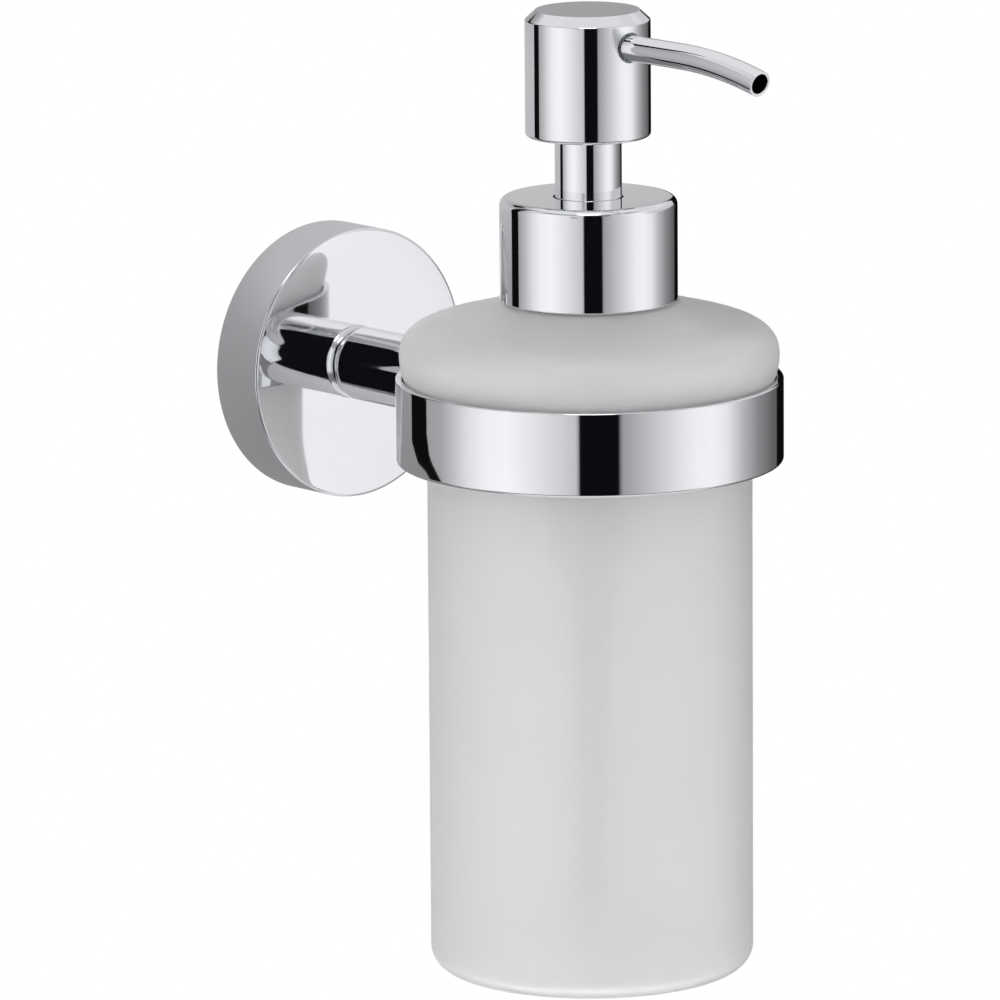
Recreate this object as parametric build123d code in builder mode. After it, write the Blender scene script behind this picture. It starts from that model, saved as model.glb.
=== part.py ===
from build123d import *
import math
import os

os.makedirs("parts", exist_ok=True)

# Wall mounted soap dispenser.
# Origin: centre of the round wall plate's back face. +Y points into the wall,
# -Y out into the room, +Z up. The arm lies along -Y and carries a ring, and the
# jar hangs in the ring on the vertical axis x = 0, y = -REACH.
# All lengths in millimetres.

# ---------------------------------------------------------------- dimensions
REACH = 75.5            # wall to jar axis
PLATE_R = 25.45         # wall plate (rosette)
PLATE_T = 11.75
PLATE_WALL = 2.0
PLATE_FRONT = 2.2

BASE_R = 23.2           # bracket behind the plate
BASE_T = 3.0
SCREW_PITCH = 20.0      # wall screw holes
SCREW_HOLE_R = 2.25
BOSS_TOP_Y = -8.2
GRUB_Y = -5.2

ARM_R = 7.0
RING_R = 35.5           # holder ring
RING_TOP = 6.36
RING_BOTTOM = -9.05
RING_BORE = 33.3
RING_LIP_BORE = 34.2
RING_STEP = 2.2

BODY_R = 29.75          # glass
GLASS_BOTTOM = -104.1
GLASS_FLOOR = -99.1
GLASS_WALL = 3.0
BULGE_R = 34.74
BULGE_Z = 10.0
NECK_R = 13.3
NECK_BORE = 10.5
NECK_TOP = 33.6

COLLAR_R = 16.23
COLLAR_TOP = 39.77
COLLAR_BOTTOM = 20.75

STEM_R = 6.10
STEM_BOTTOM = 36.0
STEM_TOP = 59.8
HEAD_R = 11.45
HEAD_FLAT_R = 9.52
HEAD_TOP = 74.08
HEAD_BOTTOM = 50.95
HEAD_CHAMFER_Z = 72.30
STROKE = 10.5

SPOUT_Z = 68.3
SPOUT_R = 2.37
SPOUT_BORE = 1.85
SPOUT_STRAIGHT_END = 100.36   # distance from the wall
SPOUT_BEND_R = 81.6
SPOUT_BEND_DEG = 13.53
SPOUT_END = 1.6

BARREL_BORE = 6.6
ROD_R = 3.0
TUBE_R = 3.0
TUBE_BORE = 2.1

JY = -REACH
JAR_AXIS = Axis((0, JY, 0), (0, 0, 1))
JAR_PLANE = Plane(origin=(0, JY, 0), x_dir=(1, 0, 0), z_dir=(0, -1, 0))
WALL_AXIS = Axis((0, 0, 0), (0, 1, 0))

# ================================================================ wall side
# Bracket: a die-cast disc screwed flat to the wall, with a raised ring whose
# outside is undercut so that the grub screw pulls the plate to the wall.
with BuildPart() as wall_bracket:
    with BuildSketch(Plane.XY) as s:
        with BuildLine():
            Polyline(
                (0, 0), (BASE_R, 0), (BASE_R, -BASE_T + 0.4), (BASE_R - 0.4, -BASE_T),
                (17.6, -BASE_T), (19.2, -7.2), (19.2, BOSS_TOP_Y + 0.4), (18.8, BOSS_TOP_Y),
                (15.6, BOSS_TOP_Y), (15.2, BOSS_TOP_Y + 0.4), (15.2, -BASE_T), (0, -BASE_T),
                close=True,
            )
        make_face()
    revolve(axis=WALL_AXIS)
    with Locations(Plane(origin=(0, -BASE_T, 0), x_dir=(1, 0, 0), z_dir=(0, -1, 0))):
        with GridLocations(SCREW_PITCH, 1, 2, 1):
            CounterSinkHole(radius=SCREW_HOLE_R, counter_sink_radius=4.1, counter_sink_angle=90)
wall_bracket.part.label = "wall_bracket"

# Plate: a deep-drawn round cup that covers the bracket.
with BuildPart() as rosette:
    with BuildSketch(Plane.XY) as s:
        with BuildLine():
            Polyline(
                (2.75, -PLATE_T), (PLATE_R, -PLATE_T), (PLATE_R, 0), (PLATE_R - PLATE_WALL, 0),
                (PLATE_R - PLATE_WALL, -PLATE_T + PLATE_FRONT), (2.75, -PLATE_T + PLATE_FRONT),
                close=True,
            )
        make_face()
    revolve(axis=WALL_AXIS)
    fillet(rosette.edges().filter_by(GeomType.CIRCLE).filter_by(lambda e: abs(e.radius - PLATE_R) < 1e-3 and abs(e.center().Y + PLATE_T) < 1e-3), 0.6)
    fillet(rosette.edges().filter_by(GeomType.CIRCLE).filter_by(lambda e: abs(e.radius - PLATE_R) < 1e-3 and abs(e.center().Y) < 1e-3), 0.3)
    fillet(rosette.edges().filter_by(GeomType.CIRCLE).filter_by(lambda e: abs(e.radius - (PLATE_R - PLATE_WALL)) < 1e-3 and abs(e.center().Y) > 5), 1.0)
    # tapped hole for the grub screw, on the underside
    with BuildSketch(Plane.XY.offset(-PLATE_R - 1)):
        with Locations((0, GRUB_Y)):
            Circle(2.08)
    extrude(amount=6, mode=Mode.SUBTRACT)
rosette.part.label = "rosette"

# Grub screw: M4 set screw with a cone point and a 2 mm hexagon socket.
with BuildPart() as grub_screw:
    with BuildSketch(Plane.XZ.offset(-GRUB_Y)):
        with BuildLine():
            Polyline((0, -25.1), (1.7, -25.1), (2.0, -24.8), (2.0, -20.1), (0.9, -19.0), (0, -19.0), close=True)
        make_face()
    revolve(axis=Axis((0, GRUB_Y, 0), (0, 0, 1)))
    with BuildSketch(Plane.XY.offset(-25.2)):
        with Locations((0, GRUB_Y)):
            RegularPolygon(radius=1.0, side_count=6, major_radius=False)
    extrude(amount=2.2, mode=Mode.SUBTRACT)
grub_screw.part.label = "grub_screw"

# Arm: a round bar, rounded where it meets the plate and turned down a little
# where it butts against the ring. Tapped at both ends.
RING_BACK = JY + RING_R
with BuildPart() as arm:
    with BuildSketch(Plane.XY):
        with BuildLine():
            Polyline(
                (0, -PLATE_T), (ARM_R, -PLATE_T), (ARM_R, RING_BACK + 1.6), (ARM_R - 0.75, RING_BACK + 0.85),
                (ARM_R - 0.75, RING_BACK - 2.0), (0, RING_BACK - 2.0),
                close=True,
            )
        make_face()
    revolve(axis=WALL_AXIS)
    fillet(arm.edges().filter_by(GeomType.CIRCLE).filter_by(lambda e: abs(e.radius - ARM_R) < 1e-3 and abs(e.center().Y + PLATE_T) < 1e-3), 1.8)
    with Locations((0, JY, 0)):
        Cylinder(radius=RING_R, height=40, mode=Mode.SUBTRACT)
    with BuildSketch(Plane.XZ.offset(PLATE_T)):
        Circle(2.55)
    extrude(amount=13.3, mode=Mode.SUBTRACT)
    with BuildSketch(Plane.XZ.offset(-RING_BACK + 1)):
        Circle(2.05)
    extrude(amount=-11.5, mode=Mode.SUBTRACT)
arm.part.label = "arm"

# Lock washer between the plate's inside and the head of the arm screw.
WASHER_Y = -PLATE_T + PLATE_FRONT
with BuildPart() as arm_washer:
    with BuildSketch(Plane.XZ.offset(-WASHER_Y)):
        Circle(4.7)
        Circle(2.75, mode=Mode.SUBTRACT)
        with Locations((0, 3.7)):
            Rectangle(0.7, 3.0, rotation=15, mode=Mode.SUBTRACT)
    extrude(amount=-1.1)
arm_washer.part.label = "arm_washer"

# Arm screw: M5 socket cap screw through the plate into the arm.
with BuildPart() as arm_screw:
    with BuildSketch(Plane.XY):
        with BuildLine():
            Polyline(
                (0, -5.1), (3.9, -5.1), (4.25, -5.45), (4.25, WASHER_Y + 1.1),
                (2.5, WASHER_Y + 1.1), (2.5, -22.9), (2.0, -23.5), (0, -23.5),
                close=True,
            )
        make_face()
    revolve(axis=WALL_AXIS)
    with BuildSketch(Plane.XZ.offset(5.0)):
        RegularPolygon(radius=2.0, side_count=6, major_radius=False)
    extrude(amount=2.4, mode=Mode.SUBTRACT)
arm_screw.part.label = "arm_screw"

# Holder ring: a turned band with a thin lip at the top, a step below the lip
# and an inward flange at the bottom that carries the liner.
with BuildPart() as holder_ring:
    with BuildSketch(JAR_PLANE):
        with BuildLine():
            Polyline(
                (31.2, RING_BOTTOM), (RING_R, RING_BOTTOM), (RING_R, RING_TOP), (RING_LIP_BORE, RING_TOP),
                (RING_LIP_BORE, RING_STEP), (RING_BORE, RING_STEP), (RING_BORE, -7.45), (31.2, -7.45),
                close=True,
            )
        make_face()
    revolve(axis=JAR_AXIS)
    fillet(holder_ring.edges().filter_by(GeomType.CIRCLE).filter_by(lambda e: abs(e.radius - RING_R) < 1e-3 and abs(e.center().Z - RING_BOTTOM) < 1e-3), 0.6)
    fillet(holder_ring.edges().filter_by(GeomType.CIRCLE).filter_by(lambda e: abs(e.radius - RING_R) < 1e-3 and abs(e.center().Z - RING_TOP) < 1e-3), 0.35)
    fillet(holder_ring.edges().filter_by(GeomType.CIRCLE).filter_by(lambda e: abs(e.radius - RING_LIP_BORE) < 1e-3 and abs(e.center().Z - RING_TOP) < 1e-3), 0.3)
    fillet(holder_ring.edges().filter_by(GeomType.CIRCLE).filter_by(lambda e: abs(e.radius - 31.2) < 1e-3 and abs(e.center().Z - RING_BOTTOM) < 1e-3), 0.4)
    # countersunk hole through the back of the ring, into the arm
    with Locations(Plane(origin=(0, JY + RING_BORE - 0.2, 0), x_dir=(1, 0, 0), z_dir=(0, -1, 0))):
        CounterSinkHole(radius=2.15, counter_sink_radius=3.4, counter_sink_angle=90, depth=6)
holder_ring.part.label = "holder_ring"

# Ring screw: M4 countersunk screw from inside the ring into the arm.
RS_Y = JY + RING_BORE - 0.15
with BuildPart() as ring_screw:
    with BuildSketch(Plane.XY):
        with BuildLine():
            Polyline(
                (0, RS_Y), (3.0, RS_Y), (3.0, RS_Y + 0.15), (2.0, RS_Y + 1.15),
                (2.0, RS_Y + 10.9), (1.6, RS_Y + 11.4), (0, RS_Y + 11.4),
                close=True,
            )
        make_face()
    revolve(axis=WALL_AXIS)
    with BuildSketch(Plane.XZ.offset(-RS_Y + 0.1)):
        RegularPolygon(radius=1.25, side_count=6, major_radius=False)
    extrude(amount=-1.6, mode=Mode.SUBTRACT)
ring_screw.part.label = "ring_screw"

# Liner: a plastic seat ring between the metal ring and the glass.
with BuildPart() as ring_liner:
    with BuildSketch(JAR_PLANE):
        with BuildLine():
            Polyline((30.1, -7.45), (33.1, -7.45), (33.1, 1.8), (32.85, 1.8), (30.1, -4.95), close=True)
        make_face()
    revolve(axis=JAR_AXIS)
ring_liner.part.label = "ring_liner"

# ================================================================ jar
# Frosted glass: straight cylinder, flared seat inside the ring, rounded bulge
# above it, domed shoulder and a short neck. The base is slightly hollow.
with BuildPart() as glass_jar:
    with BuildSketch(JAR_PLANE):
        with BuildLine():
            base1 = Line((0, GLASS_BOTTOM + 0.7), (18.0, GLASS_BOTTOM + 0.7))
            base2 = Spline((18.0, GLASS_BOTTOM + 0.7), (22.6, GLASS_BOTTOM), tangents=[(1, 0), (1, 0)])
            base3 = Line((22.6, GLASS_BOTTOM), (BODY_R - 4.1, GLASS_BOTTOM))
            heel = RadiusArc((BODY_R - 4.1, GLASS_BOTTOM), (BODY_R, GLASS_BOTTOM + 4.1), -4.1)
            wall = Line((BODY_R, GLASS_BOTTOM + 4.1), (BODY_R, -6.0))
            seat = Spline((BODY_R, -6.0), (30.1, -4.2), (32.0, 1.0), (32.95, 3.6), tangents=[(0, 1), (0.4, 1)])
            bulge = Spline(
                (32.95, 3.6), (34.1, 6.6), (BULGE_R, BULGE_Z), (34.2, 13.2), (32.6, 15.1), (30.0, 16.4), (26.0, 17.5), (21.0, 18.9), (16.23, 20.35),
                tangents=[(0.4, 1), (-1, 0.31)],
            )
            shoulder = Spline((16.23, 20.35), (14.1, 21.2), (NECK_R, 23.0), tangents=[(-1, 0.31), (0, 1)])
            neck1 = Line((NECK_R, 23.0), (NECK_R, NECK_TOP - 0.5))
            lip1 = RadiusArc((NECK_R, NECK_TOP - 0.5), (NECK_R - 0.5, NECK_TOP), -0.5)
            lip2 = Line((NECK_R - 0.5, NECK_TOP), (NECK_BORE + 0.5, NECK_TOP))
            lip3 = RadiusArc((NECK_BORE + 0.5, NECK_TOP), (NECK_BORE, NECK_TOP - 0.5), -0.5)
            neck2 = Line((NECK_BORE, NECK_TOP - 0.5), (NECK_BORE, 20.4))
            inner_dome = Spline(
                (NECK_BORE, 20.4), (12.6, 18.2), (18.0, 16.6), (26.0, 14.6), (29.8, 12.6), (31.3, 9.2),
                tangents=[(0, -1), (0, -1)],
            )
            inner_seat = Spline(
                (31.3, 9.2), (30.9, 6.3), (29.7, 2.6), (28.3, -1.0), (27.25, -4.2), (BODY_R - GLASS_WALL, -8.0),
                tangents=[(0, -1), (0, -1)],
            )
            inner_wall = Line((BODY_R - GLASS_WALL, -8.0), (BODY_R - GLASS_WALL, GLASS_FLOOR + 4.0))
            inner_heel = RadiusArc((BODY_R - GLASS_WALL, GLASS_FLOOR + 4.0), (BODY_R - GLASS_WALL - 4.0, GLASS_FLOOR), 4.0)
            floor = Line((BODY_R - GLASS_WALL - 4.0, GLASS_FLOOR), (0, GLASS_FLOOR))
            axis_line = Line((0, GLASS_FLOOR), (0, GLASS_BOTTOM + 0.7))
        make_face()
    revolve(axis=JAR_AXIS)
glass_jar.part.label = "glass_jar"

# ================================================================ pump, fixed part
# Collar: chromed shell that covers the neck.
with BuildPart() as collar:
    with BuildSketch(JAR_PLANE):
        with BuildLine():
            Polyline(
                (6.4, COLLAR_TOP), (COLLAR_R, COLLAR_TOP), (COLLAR_R, COLLAR_BOTTOM), (15.4, COLLAR_BOTTOM),
                (15.4, COLLAR_TOP - 1.0), (6.4, COLLAR_TOP - 1.0),
                close=True,
            )
        make_face()
    revolve(axis=JAR_AXIS)
    fillet(collar.edges().filter_by(GeomType.CIRCLE).filter_by(lambda e: abs(e.radius - COLLAR_R) < 1e-3 and abs(e.center().Z - COLLAR_TOP) < 1e-3), 1.5)
    fillet(collar.edges().filter_by(GeomType.CIRCLE).filter_by(lambda e: abs(e.radius - COLLAR_R) < 1e-3 and abs(e.center().Z - COLLAR_BOTTOM) < 1e-3), 0.3)
    fillet(collar.edges().filter_by(GeomType.CIRCLE).filter_by(lambda e: abs(e.radius - 6.4) < 1e-3 and abs(e.center().Z - COLLAR_TOP) < 1e-3), 0.2)
    fillet(collar.edges().filter_by(GeomType.CIRCLE).filter_by(lambda e: abs(e.radius - 15.4) < 1e-3 and abs(e.center().Z - COLLAR_TOP + 1.0) < 1e-3), 0.8)
collar.part.label = "collar"

# Cap insert: plastic cap inside the collar, over the neck, with grip ribs.
with BuildPart() as cap_insert:
    with BuildSketch(JAR_PLANE):
        with BuildLine():
            Polyline(
                (9.7, 35.9), (13.6, 35.9), (13.6, 22.6), (15.25, 22.6), (15.25, 37.9), (14.45, 38.7), (9.7, 38.7),
                close=True,
            )
        make_face()
    revolve(axis=JAR_AXIS)
    with BuildSketch(Plane.XY.offset(23.2)):
        with Locations((0, JY)):
            with PolarLocations(15.25, 24):
                Rectangle(0.35, 1.0)
    extrude(amount=11.0, mode=Mode.SUBTRACT)
cap_insert.part.label = "cap_insert"

# Gasket between the glass lip and the flange of the pump body.
with BuildPart() as neck_gasket:
    with BuildSketch(JAR_PLANE):
        with BuildLine():
            Polyline((10.2, NECK_TOP + 0.05), (13.1, NECK_TOP + 0.05), (13.1, 34.6), (10.2, 34.6), close=True)
        make_face()
    revolve(axis=JAR_AXIS)
neck_gasket.part.label = "neck_gasket"

# Pump body: flange, wide upper barrel for the guide bush, long lower barrel for
# the piston, ball seat and socket for the dip tube.
with BuildPart() as pump_body:
    with BuildSketch(JAR_PLANE):
        with BuildLine():
            Polyline(
                (8.2, 35.8), (13.2, 35.8), (13.2, 34.6), (9.6, 34.6), (9.6, 20.5), (8.0, 18.9),
                (8.0, -25.0), (4.5, -29.0), (4.5, -43.0), (3.06, -43.0), (3.06, -33.0),
                (1.6, -33.0), (1.6, -30.0), (3.2, -28.3), (3.2, -24.0), (BARREL_BORE, -24.0),
                (BARREL_BORE, 22.3), (8.2, 22.3),
                close=True,
            )
        make_face()
    revolve(axis=JAR_AXIS)
    # three nubs that keep the ball in its chamber
    with BuildSketch(Plane.XY.offset(-25.6)):
        with Locations((0, JY)):
            with PolarLocations(2.75, 3, start_angle=90):
                Rectangle(1.3, 0.9)
    extrude(amount=0.9)
    # vent hole under the flange
    with BuildSketch(Plane.YZ.offset(6.0)):
        with Locations((JY, 15.5)):
            Circle(0.6)
    extrude(amount=4.0, mode=Mode.SUBTRACT)
pump_body.part.label = "pump_body"

# Guide bush: pressed into the top of the pump body, guides the stem and rod.
with BuildPart() as guide_bush:
    with BuildSketch(JAR_PLANE):
        with BuildLine():
            Polyline(
                (6.2, 38.6), (9.5, 38.6), (9.5, 36.0), (8.1, 36.0), (8.1, 22.5), (3.1, 22.5),
                (3.1, 24.5), (6.2, 24.5),
                close=True,
            )
        make_face()
    revolve(axis=JAR_AXIS)
guide_bush.part.label = "guide_bush"

# Dip tube, cut on a slant at its lower end.
with BuildPart() as dip_tube:
    with BuildSketch(Plane.XY.offset(-97.0)):
        with Locations((0, JY)):
            Circle(TUBE_R)
            Circle(TUBE_BORE, mode=Mode.SUBTRACT)
    extrude(amount=63.6)
    split(bisect_by=Plane(origin=(0, JY, -95.0), z_dir=(0, 0.5, 1)), keep=Keep.TOP)
dip_tube.part.label = "dip_tube"

# Return spring between the shelf of the pump body and the foot of the rod.
with BuildPart() as return_spring:
    with BuildLine() as coil:
        Helix(pitch=21.3 / 7.5, height=21.3, radius=4.8, center=(0, JY, -23.5))
    with BuildSketch(Plane(origin=coil.line @ 0, z_dir=coil.line % 0)):
        Circle(0.4)
    sweep(is_frenet=True)
return_spring.part.label = "return_spring"

# Inlet ball on its seat.
with BuildPart() as inlet_ball:
    with Locations((0, JY, -28.12)):
        Sphere(2.4)
inlet_ball.part.label = "inlet_ball"

# ================================================================ pump, moving part
# Piston seal with an upper and a lower lip.
with BuildPart() as piston:
    with BuildSketch(JAR_PLANE):
        with BuildLine():
            Polyline(
                (3.08, 0.2), (5.3, 0.2), (6.1, -0.7), (6.55, -0.7), (6.55, 0.6), (5.7, 1.8), (5.7, 5.2),
                (6.55, 6.4), (6.55, 7.7), (6.1, 7.7), (5.3, 6.8), (3.08, 6.8),
                close=True,
            )
        make_face()
    revolve(axis=JAR_AXIS)
piston.part.label = "piston"

# Piston rod: hollow plastic rod with a foot, a shoulder over the piston and a
# small ball chamber at its top.
with BuildPart() as piston_rod:
    with BuildSketch(JAR_PLANE):
        with BuildLine():
            Polyline(
                (1.1, -1.6), (4.7, -1.6), (4.7, 0.0), (ROD_R, 0.0), (ROD_R, 7.0), (4.3, 7.0), (4.3, 8.2), (ROD_R, 8.8),
                (ROD_R, 54.0), (1.9, 54.0), (1.9, 50.8), (1.1, 50.0),
                close=True,
            )
        make_face()
    revolve(axis=JAR_AXIS)
piston_rod.part.label = "piston_rod"

# Outlet ball in the rod's chamber.
with BuildPart() as outlet_ball:
    with Locations((0, JY, 51.24)):
        Sphere(1.6)
outlet_ball.part.label = "outlet_ball"

# Stem sleeve: chromed tube around the rod, the visible neck under the head.
with BuildPart() as stem_sleeve:
    with BuildSketch(JAR_PLANE):
        with BuildLine():
            Polyline(
                (5.2, STEM_BOTTOM), (5.9, STEM_BOTTOM), (STEM_R, STEM_BOTTOM + 0.3), (STEM_R, STEM_TOP), (5.2, STEM_TOP),
                close=True,
            )
        make_face()
    revolve(axis=JAR_AXIS)
stem_sleeve.part.label = "stem_sleeve"

# Head: chromed shell with a bevelled top edge and a hole for the spout.
with BuildPart() as head:
    with BuildSketch(JAR_PLANE):
        with BuildLine():
            Polyline(
                (0, HEAD_TOP), (HEAD_FLAT_R, HEAD_TOP), (HEAD_R, HEAD_CHAMFER_Z), (HEAD_R, HEAD_BOTTOM),
                (10.25, HEAD_BOTTOM), (10.25, 71.7), (9.1, 72.6), (0, 72.6),
                close=True,
            )
        make_face()
    revolve(axis=JAR_AXIS)
    fillet(head.edges().filter_by(GeomType.CIRCLE).filter_by(lambda e: abs(e.radius - HEAD_R) < 1e-3 and abs(e.center().Z - HEAD_BOTTOM) < 1e-3), 0.7)
    fillet(head.edges().filter_by(GeomType.CIRCLE).filter_by(lambda e: abs(e.radius - HEAD_R) < 1e-3 and abs(e.center().Z - HEAD_CHAMFER_Z) < 1e-3), 0.5)
    fillet(head.edges().filter_by(GeomType.CIRCLE).filter_by(lambda e: abs(e.radius - HEAD_FLAT_R) < 1e-3 and abs(e.center().Z - HEAD_TOP) < 1e-3), 0.25)
    with BuildSketch(Plane.XZ.offset(REACH + 5)):
        with Locations((0, SPOUT_Z)):
            Circle(2.8)
    extrude(amount=9, mode=Mode.SUBTRACT)
head.part.label = "head"

# Head insert: plastic block with the socket for the stem, the soap channel and
# the socket for the spout.
with BuildPart() as head_insert:
    with BuildSketch(JAR_PLANE):
        with BuildLine():
            Polyline(
                (1.2, 54.1), (3.05, 54.1), (3.05, 50.0), (5.1, 50.0), (5.1, 60.0), (6.2, 60.0), (6.2, 52.3),
                (9.6, 52.3), (10.2, 52.9), (10.2, 71.0), (9.3, 72.0), (0, 72.0), (0, SPOUT_Z + 1.0), (1.2, SPOUT_Z),
                close=True,
            )
        make_face()
    revolve(axis=JAR_AXIS)
    with BuildSketch(Plane.XZ.offset(REACH)):
        with Locations((0, SPOUT_Z)):
            Circle(1.2)
    extrude(amount=12, mode=Mode.SUBTRACT)
    with BuildSketch(Plane.XZ.offset(REACH + 5.2)):
        with Locations((0, SPOUT_Z)):
            Circle(SPOUT_R + 0.05)
    extrude(amount=8, mode=Mode.SUBTRACT)
head_insert.part.label = "head_insert"

# Spout: thin tube, straight out of the head, then bending gently down.
bend = math.radians(SPOUT_BEND_DEG)
arc_end_y = SPOUT_STRAIGHT_END + SPOUT_BEND_R * math.sin(bend)
arc_end_z = SPOUT_Z - SPOUT_BEND_R * (1 - math.cos(bend))
arc_mid_y = SPOUT_STRAIGHT_END + SPOUT_BEND_R * math.sin(bend / 2)
arc_mid_z = SPOUT_Z - SPOUT_BEND_R * (1 - math.cos(bend / 2))
with BuildPart() as spout:
    with BuildLine() as spout_path:
        Line((0, -REACH - 5.4, SPOUT_Z), (0, -SPOUT_STRAIGHT_END, SPOUT_Z))
        ThreePointArc((0, -SPOUT_STRAIGHT_END, SPOUT_Z), (0, -arc_mid_y, arc_mid_z), (0, -arc_end_y, arc_end_z))
        Line((0, -arc_end_y, arc_end_z), (0, -arc_end_y - SPOUT_END * math.cos(bend), arc_end_z - SPOUT_END * math.sin(bend)))
    with BuildSketch(Plane(origin=(0, -REACH - 5.4, SPOUT_Z), x_dir=(1, 0, 0), z_dir=(0, -1, 0))):
        Circle(SPOUT_R)
        Circle(SPOUT_BORE, mode=Mode.SUBTRACT)
    sweep()
    tip = spout.faces().sort_by(Axis.Y)[0]
    fillet(tip.edges(), 0.12)
spout.part.label = "spout"

# ---------------------------------------------------------------- output
for piece in (
    wall_bracket, rosette, grub_screw, arm, arm_washer, arm_screw, holder_ring, ring_screw, ring_liner,
    glass_jar, collar, cap_insert, neck_gasket, pump_body, guide_bush, dip_tube, return_spring, inlet_ball,
    piston, piston_rod, outlet_ball, stem_sleeve, head, head_insert, spout,
):
    export_step(piece.part, f"parts/{piece.part.label}.step")
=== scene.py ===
import math

import bpy
import numpy as np
from mathutils import Matrix, Vector


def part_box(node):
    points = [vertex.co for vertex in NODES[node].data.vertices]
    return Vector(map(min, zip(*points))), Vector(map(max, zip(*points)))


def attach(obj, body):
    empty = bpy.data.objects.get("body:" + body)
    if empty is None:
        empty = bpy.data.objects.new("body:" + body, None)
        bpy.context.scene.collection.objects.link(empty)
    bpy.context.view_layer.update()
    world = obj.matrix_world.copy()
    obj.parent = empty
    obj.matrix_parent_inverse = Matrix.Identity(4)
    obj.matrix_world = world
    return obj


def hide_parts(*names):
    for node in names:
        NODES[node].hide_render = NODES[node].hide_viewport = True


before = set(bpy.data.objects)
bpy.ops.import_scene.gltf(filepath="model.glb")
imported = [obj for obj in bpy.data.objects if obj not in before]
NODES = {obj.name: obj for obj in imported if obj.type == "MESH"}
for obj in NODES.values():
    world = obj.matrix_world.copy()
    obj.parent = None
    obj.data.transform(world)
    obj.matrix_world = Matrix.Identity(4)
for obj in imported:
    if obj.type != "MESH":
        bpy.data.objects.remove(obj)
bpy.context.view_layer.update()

# ------------------------------------------------------------------ places
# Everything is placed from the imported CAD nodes, in metres. MM turns the few
# section sizes that the boxes can't say (fillets, walls) into metres.
MM = 0.001
jar_lo, jar_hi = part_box("glass_jar")
JX, JY = (jar_lo.x + jar_hi.x) / 2, (jar_lo.y + jar_hi.y) / 2
ros_lo, ros_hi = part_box("rosette")
arm_lo, arm_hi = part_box("arm")
ring_lo, ring_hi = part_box("holder_ring")
liner_lo, liner_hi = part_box("ring_liner")
col_lo, col_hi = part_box("collar")
stem_lo, stem_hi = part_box("stem_sleeve")
head_lo, head_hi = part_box("head")
sp_lo, sp_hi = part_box("spout")

SEG = 256


# ------------------------------------------------------------------ profiles
def unit(v):
    n = math.hypot(v[0], v[1])
    return (v[0] / n, v[1] / n)


def profile(corners, long_step=4.0):
    """Corners are (a, b, fillet). Returns a closed list of (a, b, edge), with
    each fillet as a sampled arc and long straights split. edge is 1 in the
    middle of a convex or concave fillet and falls to 0 on the flats."""
    n = len(corners)
    out = []
    for i in range(n):
        a0, b0, _ = corners[i - 1]
        a1, b1, r = corners[i]
        a2, b2, _ = corners[(i + 1) % n]
        if r <= 0:
            out.append((a1, b1, 0.0))
            continue
        u = unit((a0 - a1, b0 - b1))
        v = unit((a2 - a1, b2 - b1))
        cosang = max(-1, min(1, u[0] * v[0] + u[1] * v[1]))
        half = math.acos(cosang) / 2
        t = r / math.tan(half)
        p = (a1 + u[0] * t, b1 + u[1] * t)
        q = (a1 + v[0] * t, b1 + v[1] * t)
        bis = unit((u[0] + v[0], u[1] + v[1]))
        d = r / math.sin(half)
        c = (a1 + bis[0] * d, b1 + bis[1] * d)
        s0 = math.atan2(p[1] - c[1], p[0] - c[0])
        s1 = math.atan2(q[1] - c[1], q[0] - c[0])
        turn = (s1 - s0 + math.pi) % (2 * math.pi) - math.pi
        k = max(4, int(abs(turn) / math.radians(11)))
        for j in range(k + 1):
            f = j / k
            s = s0 + turn * f
            out.append((c[0] + r * math.cos(s), c[1] + r * math.sin(s), math.sin(math.pi * f)))
    split = []
    for i in range(len(out)):
        a, b, e = out[i]
        a2, b2, e2 = out[(i + 1) % len(out)]
        split.append((a, b, e))
        d = math.hypot(a2 - a, b2 - b)
        if d > long_step * 1.5:
            m = int(math.ceil(d / long_step))
            for j in range(1, m):
                f = j / m
                split.append((a + (a2 - a) * f, b + (b2 - b) * f, 0.0))
    return split


def section_normals(pts, closed=True):
    """Outward normal of each profile edge for a profile that runs with its material on the left."""
    n = len(pts)
    segs = []
    for i in range(n if closed else n - 1):
        a, b = pts[i][:2]
        a2, b2 = pts[(i + 1) % n][:2]
        d = math.hypot(a2 - a, b2 - b) or 1e-12
        segs.append(((b2 - b) / d, -(a2 - a) / d))
    return segs


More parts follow.
